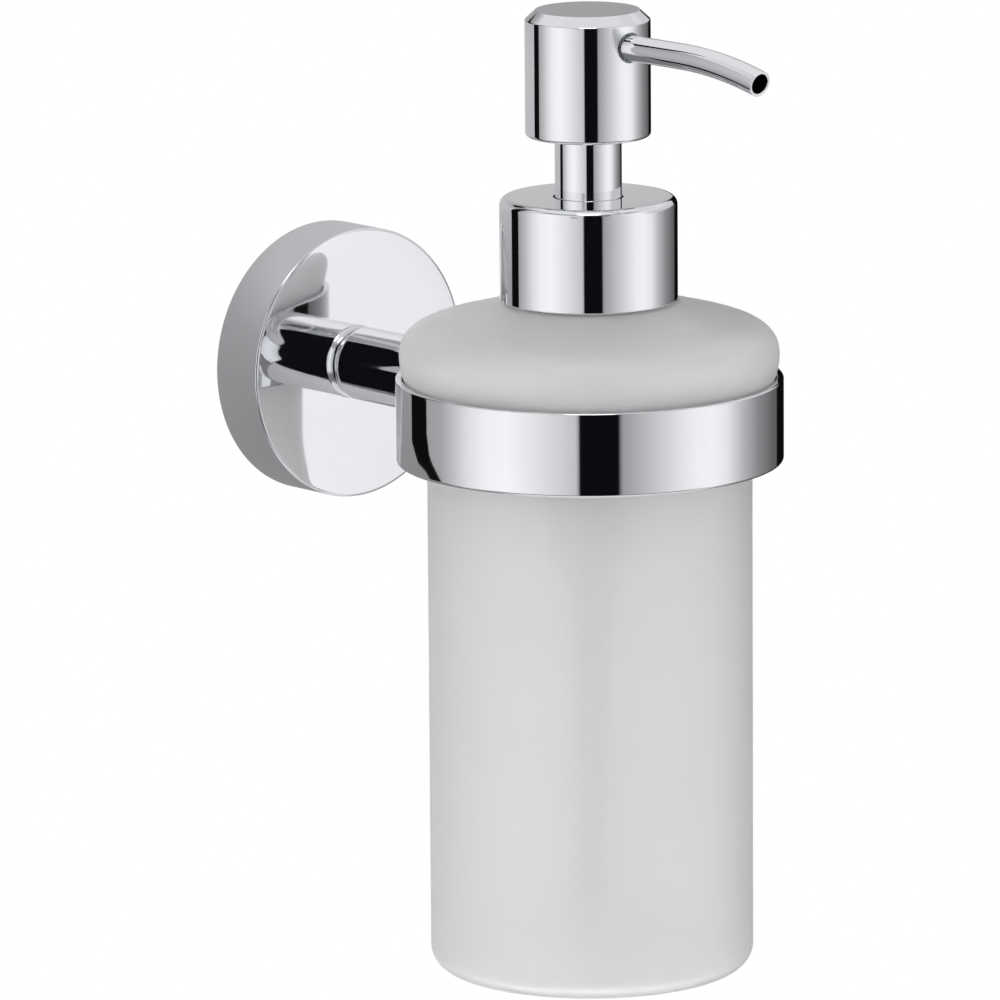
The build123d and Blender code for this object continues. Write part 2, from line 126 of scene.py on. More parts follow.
def lathe(name, pts, place, seg=SEG, crease=28.0):
    """Revolves a closed profile of (radius, height, edge), in mm, about an
    axis. place(r, h, angle) gives the point in metres. The profile runs
    counter-clockwise in the (radius, height) plane. A point on the axis
    becomes one vertex. Corner normals come from the profile itself."""
    n = len(pts)
    verts, edge_w, index = [], [], []
    for a, b, e in pts:
        if a < 1e-6:
            verts.append(place(0.0, b, 0.0))
            edge_w.append(e)
            index.append([len(verts) - 1] * seg)
        else:
            row = []
            for k in range(seg):
                verts.append(place(a, b, 2 * math.pi * k / seg))
                edge_w.append(e)
                row.append(len(verts) - 1)
            index.append(row)
    faces, normals = [], []
    segs = section_normals(pts)

    def corner_normal(i, s):
        """Normal at profile point i as seen from profile edge s."""
        prev_s, next_s = segs[i - 1], segs[i]
        me = segs[s]
        other = next_s if s == (i - 1) % n else prev_s
        dot = max(-1, min(1, me[0] * other[0] + me[1] * other[1]))
        if math.degrees(math.acos(dot)) < crease:
            # weight the longer neighbour more, so that flats stay flat
            la = math.hypot(pts[i][0] - pts[i - 1][0], pts[i][1] - pts[i - 1][1])
            lb = math.hypot(pts[(i + 1) % n][0] - pts[i][0], pts[(i + 1) % n][1] - pts[i][1])
            wa, wb = (la, lb)
            v = (prev_s[0] * wa + next_s[0] * wb, prev_s[1] * wa + next_s[1] * wb)
            return unit(v)
        return me

    for i in range(n):
        j = (i + 1) % n
        if pts[i][0] < 1e-6 and pts[j][0] < 1e-6:
            continue
        n0, n1 = corner_normal(i, i), corner_normal(j, i)
        for k in range(seg):
            k2 = (k + 1) % seg
            quad = [(index[i][k], n0, k), (index[i][k2], n0, k2), (index[j][k2], n1, k2), (index[j][k], n1, k)]
            kept = []
            for q in quad:
                if not any(q[0] == o[0] for o in kept):
                    kept.append(q)
            if len(kept) < 3:
                continue
            faces.append([q[0] for q in kept])
            normals.append([(q[1], 2 * math.pi * q[2] / seg) for q in kept])
    return build(name, verts, faces, normals, edge_w, place)


def build(name, verts, faces, normals, edge_w, place):
    me = bpy.data.meshes.new(name)
    me.from_pydata([tuple(v) for v in verts], [], faces)
    origin = Vector(place(0.0, 0.0, 0.0))
    loop_n = []
    for f in normals:
        for (nr, nh), ang in f:
            if nr is None:
                loop_n.append(nh)
                continue
            p = Vector(place(nr * 1000, nh * 1000, ang)) - origin
            loop_n.append(p.normalized())
    # faces must look outward: compare the first faces with their normals
    me.update()
    votes = 0
    li = 0
    for p in me.polygons:
        m = Vector((0, 0, 0))
        for _ in range(p.loop_total):
            m += loop_n[li]
            li += 1
        votes += 1 if p.normal.dot(m) > 0 else -1
    if votes < 0:
        me.flip_normals()
        fixed, li = [], 0
        for f in normals:
            k = len(f)
            part = loop_n[li:li + k]
            li += k
            # flipping keeps the first corner and reverses the others
            fixed += [part[0]] + part[1:][::-1]
        loop_n = fixed
    for p in me.polygons:
        p.use_smooth = True
    at = me.attributes.new("edge", "FLOAT", "POINT")
    at.data.foreach_set("value", np.array(edge_w, np.float32))
    me.normals_split_custom_set([tuple(v) for v in loop_n])
    ob = bpy.data.objects.new(name, me)
    bpy.context.scene.collection.objects.link(ob)
    return ob


def about_jar(r, h, ang):
    return (JX + r * MM * math.cos(ang), JY + r * MM * math.sin(ang), h * MM)


def about_wall(r, h, ang):
    """Axis of the wall plate: h is the distance from the wall."""
    return (r * MM * math.cos(ang), -h * MM, r * MM * math.sin(ang))


# ------------------------------------------------------------------ materials
def new_mat(name):
    m = bpy.data.materials.new(name)
    m.use_nodes = True
    nt = m.node_tree
    for n in list(nt.nodes):
        nt.nodes.remove(n)
    out = nt.nodes.new("ShaderNodeOutputMaterial")
    return m, nt, out


def link(nt, a, b):
    nt.links.new(a, b)


def noise(nt, coord, scale, detail=3.0, rough=0.5, distortion=0.0):
    n = nt.nodes.new("ShaderNodeTexNoise")
    n.inputs["Scale"].default_value = scale
    n.inputs["Detail"].default_value = detail
    n.inputs["Roughness"].default_value = rough
    n.inputs["Distortion"].default_value = distortion
    link(nt, coord, n.inputs["Vector"])
    return n.outputs["Fac"]


def ramp(nt, fac, stops):
    r = nt.nodes.new("ShaderNodeValToRGB")
    el = r.color_ramp.elements
    while len(el) > 1:
        el.remove(el[-1])
    el[0].position = stops[0][0]
    el[0].color = stops[0][1]
    for p, c in stops[1:]:
        e = el.new(p)
        e.color = c
    link(nt, fac, r.inputs["Fac"])
    return r.outputs["Color"]


def math_node(nt, op, a, b=None, c=None, clamp=False):
    m = nt.nodes.new("ShaderNodeMath")
    m.operation = op
    m.use_clamp = clamp
    for i, v in enumerate((a, b, c)):
        if v is None:
            continue
        if isinstance(v, (int, float)):
            m.inputs[i].default_value = v
        else:
            link(nt, v, m.inputs[i])
    return m.outputs[0]


def coords(nt, scale=(1, 1, 1)):
    tc = nt.nodes.new("ShaderNodeTexCoord")
    mp = nt.nodes.new("ShaderNodeMapping")
    mp.inputs["Scale"].default_value = scale
    link(nt, tc.outputs["Object"], mp.inputs["Vector"])
    return mp.outputs["Vector"]


def bump(nt, height, strength, distance):
    b = nt.nodes.new("ShaderNodeBump")
    b.inputs["Strength"].default_value = strength
    b.inputs["Distance"].default_value = distance
    link(nt, height, b.inputs["Height"])
    return b.outputs["Normal"]


def edge_value(nt):
    a = nt.nodes.new("ShaderNodeAttribute")
    a.attribute_name = "edge"
    return a.outputs["Fac"]




def chrome(name="chrome_plate"):
    """Bright chrome plate: faint smudges, hairlines, a trace of orange peel and
    edges that are worn a touch duller."""
    m, nt, out = new_mat(name)
    b = nt.nodes.new("ShaderNodeBsdfPrincipled")
    link(nt, b.outputs[0], out.inputs["Surface"])
    b.inputs["Metallic"].default_value = 1.0
    co = coords(nt)
    smudge = noise(nt, co, 60.0, 4.0, 0.6, 0.4)
    hair = noise(nt, coords(nt, (900, 900, 7000)), 1.0, 2.0, 0.5)
    edge = edge_value(nt)
    base = ramp(nt, smudge, [(0.32, (0.845, 0.852, 0.868, 1)), (0.68, (0.868, 0.872, 0.884, 1))])
    mix = nt.nodes.new("ShaderNodeMix")
    mix.data_type = "RGBA"
    mix.inputs["B"].default_value = (0.885, 0.89, 0.905, 1)
    link(nt, math_node(nt, "MULTIPLY", edge, 0.6), mix.inputs["Factor"])
    link(nt, base, mix.inputs["A"])
    link(nt, mix.outputs["Result"], b.inputs["Base Color"])
    r = math_node(nt, "MULTIPLY_ADD", smudge, 0.03, 0.018)
    r = math_node(nt, "MULTIPLY_ADD", hair, 0.012, r)
    r = math_node(nt, "MULTIPLY_ADD", edge, 0.035, r)
    link(nt, r, b.inputs["Roughness"])
    peel = noise(nt, co, 260.0, 2.0, 0.5)
    h = math_node(nt, "MULTIPLY_ADD", hair, 0.12, peel)
    link(nt, bump(nt, h, 0.05, 0.00002), b.inputs["Normal"])
    return m


def frosted(name="frosted_jar_glass"):
    """Acid-frosted glass: white, milky and matt, with a fine sugary tooth, and painted light and shade by height."""
    m, nt, out = new_mat(name)
    b = nt.nodes.new("ShaderNodeBsdfPrincipled")
    link(nt, b.outputs[0], out.inputs["Surface"])
    co = coords(nt)
    cloud = noise(nt, co, 22.0, 4.0, 0.55)
    base = ramp(nt, cloud, [(0.3, (0.93, 0.93, 0.934, 1)), (0.7, (0.95, 0.95, 0.954, 1))])
    mix = nt.nodes.new("ShaderNodeMix")
    mix.data_type = "RGBA"
    mix.inputs["B"].default_value = (0.955, 0.955, 0.96, 1)
    link(nt, math_node(nt, "MULTIPLY", edge_value(nt), 0.7), mix.inputs["Factor"])
    link(nt, base, mix.inputs["A"])
    # painted light and shade: the base colour is multiplied by a height ramp, whitest at the base as painted floor
    # light and darkest round the bulge inside the ring as painted shade of the ring; the ramp held in body is this
    # painted shade, not the glass's own tone
    tcz = nt.nodes.new("ShaderNodeTexCoord")
    sz = nt.nodes.new("ShaderNodeSeparateXYZ")
    link(nt, tcz.outputs["Object"], sz.inputs[0])
    hz = nt.nodes.new("ShaderNodeMapRange")
    hz.inputs["From Min"].default_value = -0.104
    hz.inputs["From Max"].default_value = 0.021
    link(nt, sz.outputs[2], hz.inputs["Value"])
    body = ramp(nt, hz.outputs[0], [(0.0, (1, 1, 1, 1)), (0.10, (0.998, 0.998, 0.998, 1)), (0.45, (0.985, 0.985, 0.986, 1)),
                                    (0.74, (0.96, 0.96, 0.962, 1)), (0.84, (0.945, 0.945, 0.947, 1)),
                                    (0.90, (0.925, 0.925, 0.928, 1)), (0.95, (0.965, 0.965, 0.967, 1)), (1.0, (0.98, 0.98, 0.98, 1))])
    painted_height_shade = nt.nodes.new("ShaderNodeMix")
    painted_height_shade.data_type = "RGBA"
    painted_height_shade.blend_type = "MULTIPLY"
    painted_height_shade.inputs["Factor"].default_value = 1.0
    link(nt, mix.outputs["Result"], painted_height_shade.inputs["A"])
    link(nt, body, painted_height_shade.inputs["B"])
    link(nt, painted_height_shade.outputs["Result"], b.inputs["Base Color"])
    b.inputs["Subsurface Weight"].default_value = 0.65
    b.inputs["Subsurface Radius"].default_value = (1.0, 1.0, 1.0)
    b.inputs["Subsurface Scale"].default_value = 0.006
    b.inputs["Transmission Weight"].default_value = 0.55
    b.inputs["IOR"].default_value = 1.5
    b.inputs["Specular IOR Level"].default_value = 0.5
    b.inputs["Sheen Weight"].default_value = 0.35
    b.inputs["Sheen Roughness"].default_value = 0.35
    grain = noise(nt, co, 2600.0, 3.0, 0.65)
    tooth = noise(nt, co, 520.0, 3.0, 0.6)
    r = math_node(nt, "MULTIPLY_ADD", grain, 0.10, 0.24)
    r = math_node(nt, "MULTIPLY_ADD", cloud, 0.06, r)
    link(nt, r, b.inputs["Roughness"])
    h = math_node(nt, "MULTIPLY_ADD", tooth, 0.5, grain)
    link(nt, bump(nt, h, 0.22, 0.00003), b.inputs["Normal"])
    return m


def plastic(name, lo, hi, rough, scale, sss=0.0, trans=0.0, fine=1800.0, bump_s=0.15):
    """Moulded plastic: faint flow marks and a spark-eroded grain."""
    m, nt, out = new_mat(name)
    b = nt.nodes.new("ShaderNodeBsdfPrincipled")
    link(nt, b.outputs[0], out.inputs["Surface"])
    co = coords(nt)
    flow = noise(nt, co, scale, 4.0, 0.55, 0.6)
    link(nt, ramp(nt, flow, [(0.3, (*lo, 1)), (0.7, (*hi, 1))]), b.inputs["Base Color"])
    grain = noise(nt, co, fine, 2.0, 0.5)
    r = math_node(nt, "MULTIPLY_ADD", grain, 0.16, rough)
    link(nt, r, b.inputs["Roughness"])
    link(nt, bump(nt, grain, bump_s, 0.00003), b.inputs["Normal"])
    b.inputs["Subsurface Weight"].default_value = sss
    b.inputs["Subsurface Scale"].default_value = 0.002
    b.inputs["Transmission Weight"].default_value = trans
    b.inputs["IOR"].default_value = 1.5
    return m


def metal(name, lo, hi, rough, stretch, scale=1.0, spread=0.14, bump_s=0.2, cast=False):
    """Plain metal: drawn or turned marks along `stretch`, or a cast skin."""
    m, nt, out = new_mat(name)
    b = nt.nodes.new("ShaderNodeBsdfPrincipled")
    link(nt, b.outputs[0], out.inputs["Surface"])
    b.inputs["Metallic"].default_value = 1.0
    co = coords(nt)
    blotch = noise(nt, co, 90.0, 4.0, 0.6, 0.3)
    link(nt, ramp(nt, blotch, [(0.3, (*lo, 1)), (0.7, (*hi, 1))]), b.inputs["Base Color"])
    marks = noise(nt, coords(nt, stretch), scale, 3.0, 0.55)
    link(nt, math_node(nt, "MULTIPLY_ADD", marks, spread, rough), b.inputs["Roughness"])
    if cast:
        marks = math_node(nt, "MULTIPLY_ADD", noise(nt, co, 900.0, 3.0, 0.6), 1.0, marks)
    link(nt, bump(nt, marks, bump_s, 0.00004), b.inputs["Normal"])
    return m


M_CHROME = chrome()
M_GLASS = frosted()
M_ZINC = metal("cast_zinc", (0.50, 0.51, 0.52), (0.60, 0.61, 0.62), 0.36, (400, 400, 400), bump_s=0.35, cast=True)
M_STEEL = metal("bright_steel", (0.56, 0.56, 0.57), (0.66, 0.66, 0.67), 0.18, (250, 2500, 250), bump_s=0.12)
M_CLEAR = plastic("clear_moulded_plastic", (0.84, 0.86, 0.87), (0.90, 0.92, 0.93), 0.16, 60.0, sss=0.2, trans=0.35)
M_WHITE = plastic("white_moulded_plastic", (0.80, 0.81, 0.81), (0.86, 0.87, 0.87), 0.34, 45.0, sss=0.15)
M_TUBE = plastic("dip_tube_plastic", (0.80, 0.83, 0.84), (0.86, 0.89, 0.90), 0.20, 80.0, sss=0.25, trans=0.3)
M_SEALP = plastic("seal_polyethylene", (0.76, 0.78, 0.80), (0.82, 0.84, 0.86), 0.30, 70.0, sss=0.2)
M_RUBBER = plastic("silicone_rubber", (0.66, 0.67, 0.67), (0.72, 0.73, 0.73), 0.52, 90.0, sss=0.1, bump_s=0.25)

BY_SLOT = {
    "chrome": M_CHROME, "zinc": M_ZINC, "steel": M_STEEL, "frosted_glass": M_GLASS, "clear_plastic": M_CLEAR,
    "white_plastic": M_WHITE, "tube_plastic": M_TUBE, "seal_plastic": M_SEALP, "seal_rubber": M_RUBBER,
}
for node in NODES.values():
    for s in node.material_slots:
        key = (s.material.name if s.material else "").split(".")[0]
        if key in BY_SLOT:
            s.material = BY_SLOT[key]


def finish_piece(ob, body, node, mat):
    ob.data.materials.append(mat)
    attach(ob, body)
    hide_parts(node)
    return ob


# ------------------------------------------------------------------ wall plate
PR = ros_hi.x / MM
PT = -ros_lo.y / MM
PW, PF = 2.0, 2.2



def face_drop(r):
    """Polished plate: a trace of doming that rolls off towards the rim."""
    roll = max(0.0, (r - 18.0) / (PR - 18.0))
    return r * r / 4200.0 + 0.13 * roll ** 3


rosette_pts = []
for a, b, e in profile([
    (2.75, PT, 0), (2.75, PT - PF, 0), (PR - PW, PT - PF, 1.0), (PR - PW, 0, 0),
    (PR, 0, 0.3), (PR, PT, 0.6),
], 0.8):
    if b > PT - 0.7:
        b -= face_drop(a) * min(1.0, (b - PT + 0.7) / 0.65)
    rosette_pts.append((a, b, e))
rosette = lathe("rosette_shell", rosette_pts, about_wall)

# ------------------------------------------------------------------ ring, liner
RR = (ring_hi.x - JX) / MM
RT, RB = ring_hi.z / MM, ring_lo.z / MM
holder = lathe("holder_ring_band", profile([
    (31.2, RB, 0.4), (RR, RB, 0.6), (RR, RT, 0.35), (34.2, RT, 0.3), (34.2, 2.2, 0.12), (33.3, 2.2, 0.15),
    (33.3, -7.45, 0), (31.2, -7.45, 0),
]), about_jar)

# ------------------------------------------------------------------ collar, stem, head
CR = (col_hi.x - JX) / MM
CT, CB = col_hi.z / MM, col_lo.z / MM
collar = lathe("collar_shell", profile([
    (6.4, CT, 0.2), (6.4, CT - 1.0, 0), (15.4, CT - 1.0, 0.8), (15.4, CB, 0.1), (CR, CB, 0.3), (CR, CT, 1.5),
]), about_jar)
SR = (stem_hi.x - JX) / MM
ST, SB = stem_hi.z / MM, stem_lo.z / MM
stem = lathe("stem_tube", profile([
    (5.2, SB, 0), (SR, SB, 0.3), (SR, ST, 0), (5.2, ST, 0),
], 2.0), about_jar)

# ------------------------------------------------------------------ glass
GB = jar_lo.z / MM
GT = jar_hi.z / MM
BODY_R, WALL = 29.75, 3.0


def spline(pts, d0=None, d1=None, per=8):
    """Smooth curve through points in the (radius, height) plane, by chord
    length, with end directions."""
    p = np.array(pts, float)
    n = len(p)
    t = np.concatenate([[0], np.cumsum(np.hypot(*np.diff(p, axis=0).T))])
    a = np.zeros((n, n))
    rhs = np.zeros((n, 2))
    h = np.diff(t)
    for i in range(1, n - 1):
        a[i, i - 1] = h[i]
        a[i, i] = 2 * (h[i - 1] + h[i])
        a[i, i + 1] = h[i - 1]
        rhs[i] = 3 * (h[i] * (p[i] - p[i - 1]) / h[i - 1] + h[i - 1] * (p[i + 1] - p[i]) / h[i])
    a[0, 0] = a[-1, -1] = 1
    rhs[0] = unit(d0)
    rhs[-1] = unit(d1)
    m = np.linalg.solve(a, rhs)
    out = []
    for i in range(n - 1):
        for j in range(per):
            s = j / per
            h00, h10 = 2 * s**3 - 3 * s**2 + 1, s**3 - 2 * s**2 + s
            h01, h11 = -2 * s**3 + 3 * s**2, s**3 - s**2
            q = h00 * p[i] + h10 * h[i] * m[i] + h01 * p[i + 1] + h11 * h[i] * m[i + 1]
            out.append((float(q[0]), float(q[1])))
    out.append((float(p[-1][0]), float(p[-1][1])))
    return out


def arc(cx, cy, r, a0, a1, k=14):
    return [(cx + r * math.cos(math.radians(a0 + (a1 - a0) * j / k)), cy + r * math.sin(math.radians(a0 + (a1 - a0) * j / k))) for j in range(k + 1)]


def straight(a, b, step=4.0):
    d = math.hypot(b[0] - a[0], b[1] - a[1])
    k = max(1, int(round(d / step)))
    return [(a[0] + (b[0] - a[0]) * j / k, a[1] + (b[1] - a[1]) * j / k) for j in range(k + 1)]


seat = spline([(BODY_R, -6.0), (30.1, -4.2), (32.0, 1.0), (32.95, 3.6)], (0, 1), (0.4, 1))
bulge = spline([(32.95, 3.6), (34.1, 6.6), (34.74, 10.0), (34.2, 13.2), (32.6, 15.1), (30.0, 16.4), (26.0, 17.5),
                (21.0, 18.9), (16.23, 20.35)], (0.4, 1), (-1, 0.31))
shoulder = spline([(16.23, 20.35), (14.1, 21.2), (13.3, 23.0)], (-1, 0.31), (0, 1), 6)
outer = (straight((0, GB + 0.7), (18.0, GB + 0.7), 6.0)
         + spline([(18.0, GB + 0.7), (22.6, GB)], (1, 0), (1, 0), 8)[1:]
         + straight((22.6, GB), (BODY_R - 4.1, GB))[1:]
         + arc(BODY_R - 4.1, GB + 4.1, 4.1, -90, 0)[1:]
         + straight((BODY_R, GB + 4.1), (BODY_R, -6.0))[1:]
         + seat[1:] + bulge[1:] + shoulder[1:]
         + straight((13.3, 23.0), (13.3, GT - 0.5), 3.0)[1:]
         + arc(12.8, GT - 0.5, 0.5, 0, 90, 5)[1:])
inner = (arc(11.0, GT - 0.5, 0.5, 90, 180, 5)
         + straight((10.5, GT - 0.5), (10.5, 20.4), 3.0)[1:]
         + spline([(10.5, 20.4), (12.6, 18.2), (18.0, 16.6), (26.0, 14.6), (29.8, 12.6), (31.3, 9.2), (30.4, 4.2),
                   (28.2, -1.6), (BODY_R - WALL, -7.0)], (0.2, -1), (0, -1), 6)[1:]
         + straight((BODY_R - WALL, -7.0), (BODY_R - WALL, -95.1))[1:]
         + arc(BODY_R - WALL - 4.0, -95.1, 4.0, 0, -90, 10)[1:]
         + straight((22.75, -99.1), (0, -99.1), 6.0)[1:])
glass_pts = []
for a, b in outer + inner:
    e = 0.0
    if a > 26 and b < GB + 4.2:
        e = 0.8
    if b > GT - 0.6:
        e = 0.6
    glass_pts.append((max(a, 0.0), b, e))
jar = lathe("glass_jar_body", glass_pts, about_jar, 288, 40.0)

liner = lathe("ring_liner_seat", profile([
    (30.1, -7.45, 0), (33.1, -7.45, 0), (33.1, 1.8, 0.1), (32.85, 1.8, 0.1), (30.1, -4.95, 0.2),
]), about_jar)

# ------------------------------------------------------------------ arm
# A lathed bar whose far end follows the outside of the ring.
AR = (arm_hi.x) / MM
AR_END = AR - 0.75
RING_BACK = -(JY / MM) - RR
bore = 2.55
arm_seg = 192
start_pts = profile([(bore, PT, 0), (AR, PT, 1.8), (AR, RING_BACK - 1.6, 0), (AR_END, RING_BACK - 0.85, 0),
                     (AR_END, RING_BACK - 0.2, 0), (bore, RING_BACK - 0.2, 0)])


def about_arm(r, h, ang):
    x, z = r * math.cos(ang), r * math.sin(ang)
    # the two corners at the ring end lie on the ring's outer cylinder
    if h > RING_BACK - 0.5:
        h = -(JY / MM) - math.sqrt(RR * RR - x * x)
    return (x * MM, -h * MM, z * MM)


arm_pts = [(a, b, e) for a, b, e in start_pts]


def lathe_arm():
    verts, edge_w, index, faces, normals = [], [], [], [], []
    for a, b, e in arm_pts:
        row = []
        for k in range(arm_seg):
            verts.append(about_arm(a, b, 2 * math.pi * k / arm_seg))
            edge_w.append(e)
            row.append(len(verts) - 1)
        index.append(row)
    segs = section_normals(arm_pts)
    n = len(arm_pts)
    for i in range(n):
        j = (i + 1) % n

        def corner(c, s):
            me, other = segs[s], segs[c] if s != c else segs[c - 1]
            dot = max(-1, min(1, me[0] * other[0] + me[1] * other[1]))
            if math.degrees(math.acos(dot)) < 28:
                la = math.hypot(arm_pts[c][0] - arm_pts[c - 1][0], arm_pts[c][1] - arm_pts[c - 1][1])
                lb = math.hypot(arm_pts[(c + 1) % n][0] - arm_pts[c][0], arm_pts[(c + 1) % n][1] - arm_pts[c][1])
                return unit((segs[c - 1][0] * la + segs[c][0] * lb, segs[c - 1][1] * la + segs[c][1] * lb))
            return me

        n0, n1 = corner(i, i), corner(j, i)
        for k in range(arm_seg):
            k2 = (k + 1) % arm_seg
            faces.append([index[i][k], index[i][k2], index[j][k2], index[j][k]])
            rows = []
            for nn, kk in ((n0, k), (n0, k2), (n1, k2), (n1, k)):
                ang = 2 * math.pi * kk / arm_seg
                rows.append(((None, Vector((nn[0] * math.cos(ang), -nn[1], nn[0] * math.sin(ang))).normalized()), ang))
            normals.append(rows)
    return build("arm_bar", verts, faces, normals, edge_w, about_wall)


arm = lathe_arm()

# ------------------------------------------------------------------ head and spout
HR = (head_hi.x - JX) / MM
HT, HB = head_hi.z / MM, head_lo.z / MM
FLAT_R, CHAM_Z = 9.52, HT - 1.78
HEAD_PTS = profile([
    (0, HT - 1.48, 0), (9.1, HT - 1.48, 0), (10.25, 71.7, 0), (10.25, HB, 0.15), (HR, HB, 0.7), (HR, CHAM_Z, 0.5),
    (FLAT_R, HT, 0.25), (0, HT, 0),
], 2.0)
head = lathe("head_shell", HEAD_PTS, about_jar)

SPOUT_Z = (sp_hi.z / MM) - 2.37
SPR, SPB = 2.37, 1.85
bend = math.radians(13.53)
BEND_R, STRAIGHT_END, SP_END = 81.6, 100.36, 1.6
START = -(JY / MM) + 5.4


def spout_path():
    """(distance from the wall, height, direction) along the tube."""
    out = []
    k = 16
    for j in range(k + 1):
        out.append((START + (STRAIGHT_END - START) * j / k, SPOUT_Z, 0.0))
    k = 30
    for j in range(1, k + 1):
        a = bend * j / k
        out.append((STRAIGHT_END + BEND_R * math.sin(a), SPOUT_Z - BEND_R * (1 - math.cos(a)), a))
    y, z, a = out[-1]
    for j in (1, 2, 3):
        out.append((y + SP_END * j / 3 * math.cos(a), z - SP_END * j / 3 * math.sin(a), a))
    return out


def tube(name, path, ro, ri, lip=0.12, seg=96):
    """A hollow tube along a path in the plane x = 0, with rounded tip edges."""
    rows = []   # (centre y, centre z, direction, radius, normal along, normal out, edge)
    y0, z0, a0 = path[0]
    yl, zl, al = path[-1]

    def at(back):
        return (yl - back * math.cos(al), zl + back * math.sin(al))

    for y, z, a in path[:-1]:
        rows.append((y, z, a, ro, 0.0, 1.0, 0.0))
    for j in range(6):
        f = math.radians(90 * j / 5)
        c = at(lip - lip * math.sin(f))
        rows.append((c[0], c[1], al, ro - lip + lip * math.cos(f), math.sin(f), math.cos(f), 1.0))
    for j in range(6):
        f = math.radians(90 - 90 * j / 5)
        c = at(lip - lip * math.sin(f))
        rows.append((c[0], c[1], al, ri + lip - lip * math.cos(f), math.sin(f), -math.cos(f), 1.0))
    for y, z, a in path[:-1][::-1]:
        rows.append((y, z, a, ri, 0.0, -1.0, 0.0))
    verts, edge_w, index = [], [], []
    dirs = []
    for y, z, a, r, na, no, e in rows:
        row, drow = [], []
        for k in range(seg):
            t = 2 * math.pi * k / seg
            # across: +x and the in-plane normal
            n_y, n_z = math.sin(a), math.cos(a)
            cx, cn = math.cos(t), math.sin(t)
            verts.append((JX + r * cx * MM, -(y + r * cn * n_y) * MM, (z + r * cn * n_z) * MM))
            v = Vector((no * cx, -(no * cn * n_y + na * math.cos(a)), no * cn * n_z - na * math.sin(a)))
            drow.append(v.normalized())
            edge_w.append(e)
            row.append(len(verts) - 1)
        index.append(row)
        dirs.append(drow)
    faces, normals = [], []
    m = len(rows)
    for i in range(m):
        j = (i + 1) % m
        flat = j == 0
        for k in range(seg):
            k2 = (k + 1) % seg
            faces.append([index[i][k], index[i][k2], index[j][k2], index[j][k]])
            if flat:
                v = Vector((0, 1, 0))
                normals.append([((None, v), 0)] * 4)
            else:
                normals.append([((None, dirs[i][k]), 0), ((None, dirs[i][k2]), 0), ((None, dirs[j][k2]), 0), ((None, dirs[j][k]), 0)])
    return build(name, verts, faces, normals, edge_w, about_wall)


spout = tube("spout_tube", spout_path(), SPR, SPB)

# The head shell has a round hole for the spout.
cut_me = bpy.data.meshes.new("spout_hole_cutter")
ring_pts = []
cseg = 96
cf = []
for d in (6.0, 14.0):
    for k in range(cseg):
        t = 2 * math.pi * k / cseg
        ring_pts.append((JX + 2.8 * MM * math.cos(t), JY - d * MM, (SPOUT_Z + 2.8 * math.sin(t)) * MM))
for k in range(cseg):
    k2 = (k + 1) % cseg
    cf.append([k, k2, cseg + k2, cseg + k])
cf.append(list(range(cseg))[::-1])
cf.append(list(range(cseg, 2 * cseg)))
cut_me.from_pydata(ring_pts, [], cf)
cut_me.update()
cutter = bpy.data.objects.new("spout_hole_cutter", cut_me)
bpy.context.scene.collection.objects.link(cutter)


def apply_boolean(ob, tool):
    mod = ob.modifiers.new("hole", "BOOLEAN")
    mod.operation = "DIFFERENCE"
    mod.solver = "EXACT"
    mod.object = tool
    dg = bpy.context.evaluated_depsgraph_get()
    dg.update()
    made = bpy.data.meshes.new_from_object(ob.evaluated_get(dg), preserve_all_data_layers=True, depsgraph=dg)
    ob.modifiers.remove(mod)
    old = ob.data
    ob.data = made
    bpy.data.meshes.remove(old)


